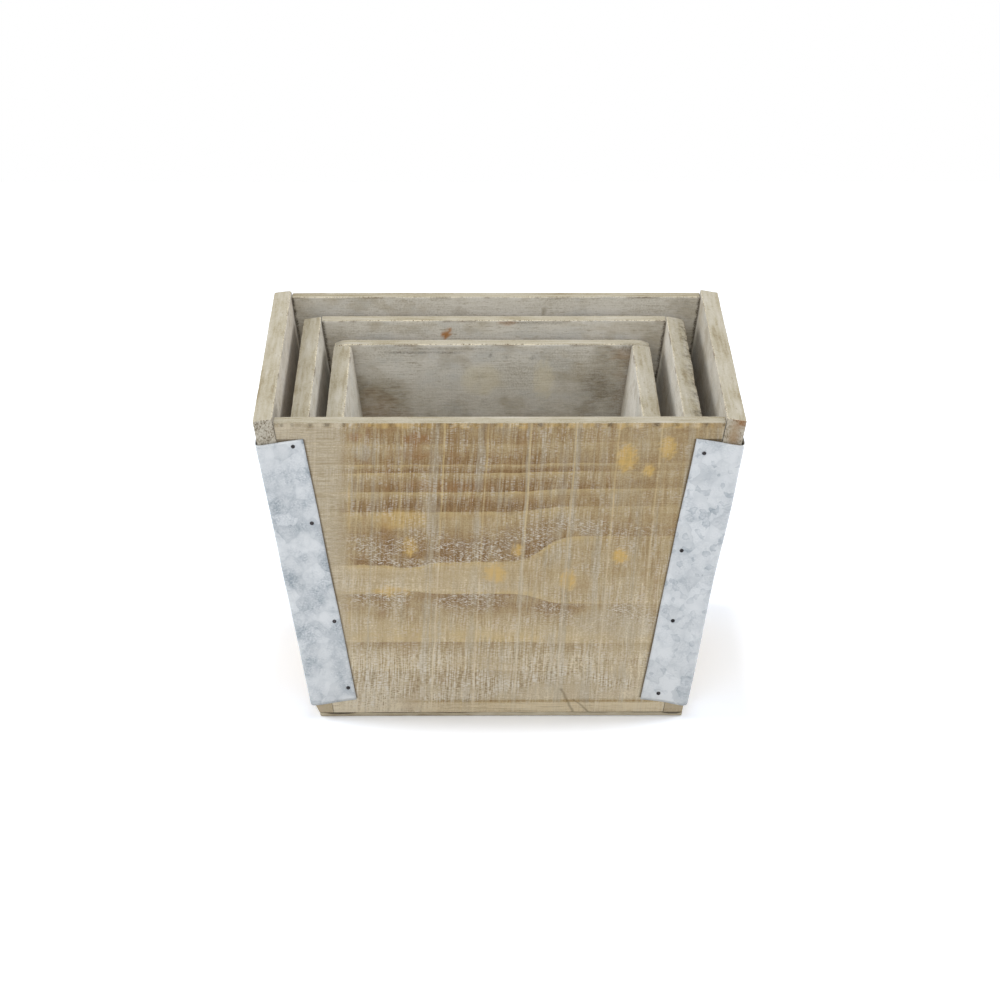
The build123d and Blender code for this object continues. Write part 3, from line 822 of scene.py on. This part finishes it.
def strap(box_name, front, side, patterns, stand_off, chips, seed):
    """Bent sheet along a corner edge: across it a leg, a round bend and a leg, at a distance from the wood
    that is least at the nails and grows away from them; two layers and their edges make one closed skin."""
    name = f"strap_{front}_{side}"
    foot, rim = box_edge(box_name, front, side)
    slope = (rim - foot) / (rim - foot)[2]
    underside = solid_corners(f"{box_name}_base_sheet", np.eye(3))[0, 0, 0, 2]
    side_rim = solid_corners(f"{box_name}_left_board", wall_axes("left"))[0, 1, 1, 2]
    low_end = foot + slope * (underside + STRAP_FOOT_GAP - foot[2])
    high_end = foot + slope * (side_rim - STRAP_RIM_GAP - foot[2])
    length = np.linalg.norm(high_end - low_end)
    upward = (high_end - low_end) / length
    facing, inward = [], []
    for way, other in ((front, side), (side, front)):
        normal = wall_axes(way)[2]
        along = np.cross(upward, normal)
        along *= -np.sign(along @ np.array(SIDES[other])) / np.linalg.norm(along)
        facing.append(normal)
        inward.append(along)

    flat = STRAP_LEG - STRAP_BEND
    quarter = STRAP_BEND * math.pi / 2
    across = np.concatenate([
        np.linspace(-flat - quarter / 2, -quarter / 2, STRAP_LEG_POINTS),
        np.linspace(-quarter / 2, quarter / 2, STRAP_BEND_POINTS)[1:],
        np.linspace(quarter / 2, flat + quarter / 2, STRAP_LEG_POINTS)[1:],
    ])
    up = np.linspace(0, length, round(length / STRAP_STEP) + 1)
    sheet, quads = box_skin(across, up, np.array([0.0, 1.0]))
    run, height, layer = sheet.T
    leg = np.clip(np.abs(run) - quarter / 2, 0, None)
    turn = held(run / quarter + 0.5) * math.pi / 2
    tight = np.zeros(len(sheet))
    for hand, pattern in zip((-1, 1), patterns):
        for share, edge_gap in pattern:
            nail_up = length - STRAP_NAIL_END_GAP - share * (length - 2 * STRAP_NAIL_END_GAP)
            nail_run = hand * (STRAP_LEG - edge_gap - STRAP_BEND + quarter / 2)
            tight = np.maximum(tight, bell(height, nail_up, 0.02) * bell(run, nail_run, 0.009))
    bow = np.clip(1.15 - leg / 0.028, 0.12, 1) * (1 + 0.35 * ripple(sheet[:, :2], seed, 0.08))
    gap = STRAP_LEAST_GAP + stand_off * bow * (1 - tight) ** 1.5
    edge_wave = 1 + 0.012 * ripple(sheet[:, 1:2], seed + 1, 0.09) * np.sign(run)
    reach_front = np.where(run < 0, leg * edge_wave, 0) + STRAP_BEND * (1 - np.sin(turn))
    reach_side = np.where(run > 0, leg * edge_wave, 0) + STRAP_BEND * (1 - np.cos(turn))
    out = np.cos(turn)[:, None] * facing[0] + np.sin(turn)[:, None] * facing[1]
    places = low_end + height[:, None] * upward
    places = places + reach_front[:, None] * inward[0] + reach_side[:, None] * inward[1]
    places = places + out * (gap + layer * STRAP_SHEET)[:, None]
    if np.linalg.det(np.stack([-inward[0] + inward[1], upward, facing[0] + facing[1]])) < 0:
        quads = quads[:, ::-1]
    flat_place = np.stack([run, height, layer * 0.001], 1) + seed * 0.31
    notes = {"sheet": flat_place, "chips": np.full(len(sheet), chips)}
    piece = new_piece(f"{box_name}_{name}_metal", f"{box_name}_box", places, quads, galvanised, notes)
    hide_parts(f"{box_name}_{name}")


def galvanised_finish():
    """Dull zinc: pale blue-grey flakes of uneven tone, larger clouds, small dark smudges and chips, and
    uneven gloss. A strap with more chips has calmer clouds."""
    zinc = Finish("galvanised_sheet_look")
    sheet = zinc.note("sheet", "Vector")
    chips = zinc.note("chips")
    cloud = zinc.noise(sheet, (0.012, 0.015, 0.01), 3.0, 0.55)
    bent = zinc.bent(sheet, 250.0, 0.0, (0.004, 0.004, 0.0))
    flakes = {"Vector": bent, "Scale": 105.0}
    flake = zinc.parts(zinc.add("TexVoronoi", flakes, "Color"))[0]
    border = zinc.add("TexVoronoi", flakes, feature="DISTANCE_TO_EDGE")
    chip = zinc.add("TexVoronoi", {"Vector": bent, "Scale": 310.0}).node.outputs
    chip_luck = zinc.parts(chip["Color"])[0]
    chipped = zinc.noise(sheet, (0.07, 0.09, 0.05), 1.0)
    chip_share = zinc.times(
        zinc.fade(chip_luck, 0.80, 0.83), zinc.fade(chip["Distance"], 0.1, 0.7, 0.15, 1.0),
        zinc.fade(chipped, 0.42, 0.55, 0.75, 1.0), chips,
    )
    speckle = zinc.noise(sheet, (0.0011, 0.0011, 0.01), 2.0, 0.6, 0.4)
    dull = zinc.times(zinc.fade(border, 0.0, 0.16, 1.0, 0.0), zinc.fade(speckle, 0.35, 0.6, 0.0, 1.0))
    darkest_cloud = zinc.fade(chips, 0.0, 1.0, 0.28, 0.62)
    speckle_share = zinc.fade(cloud, 0.38, 0.58, zinc.fade(chips, 0.0, 1.0, 1.0, 0.6), 0.3)
    tone = zinc.plus(
        zinc.fade(cloud, 0.32, 0.66, darkest_cloud, 0.98), zinc.fade(flake, 0.0, 1.0, -0.17, 0.17),
        zinc.times(zinc.fade(speckle, 0.3, 0.7, -0.4, 0.4), speckle_share),
    )
    tone = zinc.calc("MULTIPLY_ADD", dull, -0.22, tone)
    tone = zinc.calc("MULTIPLY_ADD", chip_share, -0.45, tone, clamp=True)
    colour = zinc.ramp(
        tone, (0.0, 147, 156, 163), (0.35, 177, 183, 188), (0.7, 198, 202, 205), (1.0, 210, 213, 215)
    )
    zinc.show(Base_Color=colour, Roughness=zinc.fade(flake, 0.0, 1.0, 0.62, 0.48), Metallic=0.35)
    zinc.relief(cloud, 0.0004, 0.3)
    return zinc.made


galvanised = galvanised_finish()
dark_steel = steel_finish("dark_nail_look", (30, 28, 30), (74, 70, 70), 0.8)
STRAP_CORNERS = (
    ("front", "left", 1, 0.1), ("front", "right", -1, 1.0), ("back", "left", -1, 0.7),
    ("back", "right", 1, 0.3),
)


def strap_set(box_name, stand_offs, seed):
    """Four straps of a box and its nails' finish. A corner gives its two sides, the order in which they take
    the nail patterns, and its share of chips."""
    for number, (front, side, order, chips) in enumerate(STRAP_CORNERS):
        patterns = STRAP_NAIL_PATTERNS[::order]
        strap(box_name, front, side, patterns, stand_offs[number], chips, seed + number)
    dress(f"{box_name}_strap_nails", dark_steel)


strap_set("large", (0.0006, 0.0013, 0.0007, 0.0008), 50)

# Medium box
# The same boards and straps, smaller by the nest gap. It stands in the large box and lifts straight out.
# Its back board has a knot stain, and the outer top edge of its right board is torn.
plain_board("medium", "front", 21, 0.0006, 0.001)
plain_board("medium", "back", 22, 0.0006, 0.0008, spots=(
    ("stain", 28.9, 170.6, INNER, 2.6, 2.6, 1.0), ("stain", 26.4, 173.8, INNER, 1.4, 1.6, 0.9),
    ("dark", -24, 178.0, INNER, 18, 1.0, 0.4), ("stain", -8, 177.8, INNER, 6, 1.3, 0.45),
    ("dark", -8, 178.0, INNER, 5, 1.0, 0.35),
))
plain_board("medium", "left", 23, 0.0006, 0.001, corner_drop=0.0008)
plain_board("medium", "right", 24, 0.0006, 0.0006, torn=0.0018, corner_drop=0.0008)
strap_set("medium", (0.0006, 0.0007, 0.0006, 0.0007), 60)

# Small box
# The smallest of the set, of the same stock, with its front and back boards running through at the corners.
# It stands in the medium box and lifts straight out of it.
plain_board("small", "front", 31, 0.0006, 0.001)
plain_board("small", "back", 32, 0.0007, 0.0012, corner_drop=0.0018, spots=(
    ("dark", 41, 163.0, INNER, 24, 0.7, 0.5), ("dark", 26, 165.6, INNER, 26, 0.7, 0.35),
    ("dark", 0.5, 161, INNER, 1.3, 1.3, 0.5), ("dark", -8, 160.5, INNER, 1.6, 1.0, 0.4),
    ("dark", -24.6, 160, INNER, 1.5, 1.0, 0.5), ("dark", -84, 166, INNER, 14, 3.5, 0.4),
    ("stain", -80, 162, INNER, 9, 4, 0.2), ("wash", -78, 160, INNER, 24, 9, 0.9),
    # The broad wash spots and the broad dark spot low on the inner face darken it towards the bottom and the
    # corners: painted shade.
    ("wash", 74, 130, INNER, 34, 20, 0.85), ("stain", 76, 124, INNER, 26, 14, 0.16),
    ("stain", -90, 140, INNER, 16, 26, 0.12), ("wash", -76, 140, INNER, 34, 20, 0.9),
    ("dark", -84, 130, INNER, 34, 24, 0.28), ("wash", -2, 122, INNER, 60, 18, 0.5),
    ("ochre", 6, 147, INNER, 14, 9, 0.3), ("ochre", -31, 147, INNER, 6, 12, 0.35),
))
plain_board("small", "left", 33, 0.0006, 0.0014)
plain_board("small", "right", 34, 0.0006, 0.0014)
strap_set("small", (0.0005, 0.0006, 0.0006, 0.0005), 70)

# Floor, light and camera
# A pale studio floor under soft light from above, from both sides and from the front. The camera stands in
# front and a little above.
FLOOR_PAINT = (0.8, 0.8, 0.79, 1)
FLOOR_SEEN = (1.24, 1.29, 1.38, 1)
FLOOR_REACH = 1.0


def seen_share(finish):
    """One for rays from the camera, off mirrors and through glass, nothing for light between things."""
    rays = finish.add("LightPath", {}).node.outputs
    seen = finish.calc("MAXIMUM", rays["Is Camera Ray"], rays["Is Glossy Ray"])
    return finish.calc("MAXIMUM", seen, rays["Is Transmission Ray"])


def floor_finish():
    """Pale matt paint, a little brighter to the camera and in mirrors, so that only the shadow shows."""
    pale = Finish("studio_floor_look")
    matt = pale.add("BsdfDiffuse", {"Color": pale.mix(seen_share(pale), FLOOR_PAINT, FLOOR_SEEN)})
    pale.tree.nodes.remove(pale.surface)
    pale.join(pale.tree.nodes["Material Output"].inputs["Surface"], matt)
    return pale.made


floor_mesh = bpy.data.meshes.new("studio_floor")
floor_corners = [(x * FLOOR_REACH, y * FLOOR_REACH, 0) for x, y in ((-1, -1), (1, -1), (1, 1), (-1, 1))]
floor_mesh.from_pydata(floor_corners, [], [(0, 1, 2, 3)])
floor_mesh.materials.append(floor_finish())
floor = bpy.data.objects.new("studio_floor", floor_mesh)
scene.collection.objects.link(floor)

SKY_LIGHT = 0.45
SKY_SEEN = 1.0
sky = Finish("studio", "worlds")
sky.show(Color=(1, 1, 1, 1), Strength=sky.fade(seen_share(sky), 0.0, 1.0, SKY_LIGHT, SKY_SEEN))
scene.world = sky.made

LAMP_TARGET = np.array([0, 0, 0.1])


def soft_lamp(name, place, size, watts):
    """Square soft box at a place, facing the middle of the object."""
    lamp = bpy.data.lights.new(name, "AREA")
    lamp.shape = "SQUARE"
    lamp.size = size
    lamp.energy = watts
    holder = bpy.data.objects.new(name, lamp)
    holder.location = place
    way = LAMP_TARGET - np.array(place)
    distance = np.linalg.norm(way)
    holder.rotation_euler = (math.acos(-way[2] / distance), 0, math.atan2(way[1], way[0]) - math.pi / 2)
    scene.collection.objects.link(holder)


soft_lamp("soft_box_left", (-1.4, 0.35, 0.8), 0.9, 13.5)
soft_lamp("soft_box_right", (1.4, 0.35, 0.8), 0.9, 12)
soft_lamp("soft_box_above", (-0.05, -0.26, 1.9), 0.24, 9)
soft_lamp("soft_box_front", (-0.4, -2.4, 1.1), 1.5, 16)

CAMERA_PLACE = (-0.01827, -1.79652, 0.82232)
CAMERA_FOCAL = 3297.99
CAMERA_TURN = 0.0109791
CAMERA_FALL = 0.381883
CAMERA_ROLL = 0.0026943
PICTURE_WIDTH = 1000
SENSOR_WIDTH = 36
lens = bpy.data.cameras.new("photo_camera")
lens.sensor_width = SENSOR_WIDTH
lens.lens = SENSOR_WIDTH * CAMERA_FOCAL / PICTURE_WIDTH
camera = bpy.data.objects.new("photo_camera", lens)
aim = Matrix.Rotation(-CAMERA_TURN, 4, "Z") @ Matrix.Rotation(math.pi / 2 - CAMERA_FALL, 4, "X")
camera.matrix_world = Matrix.Translation(CAMERA_PLACE) @ aim @ Matrix.Rotation(CAMERA_ROLL, 4, "Z")
scene.collection.objects.link(camera)
scene.camera = camera
bpy.context.scene.view_settings.view_transform = "Standard"
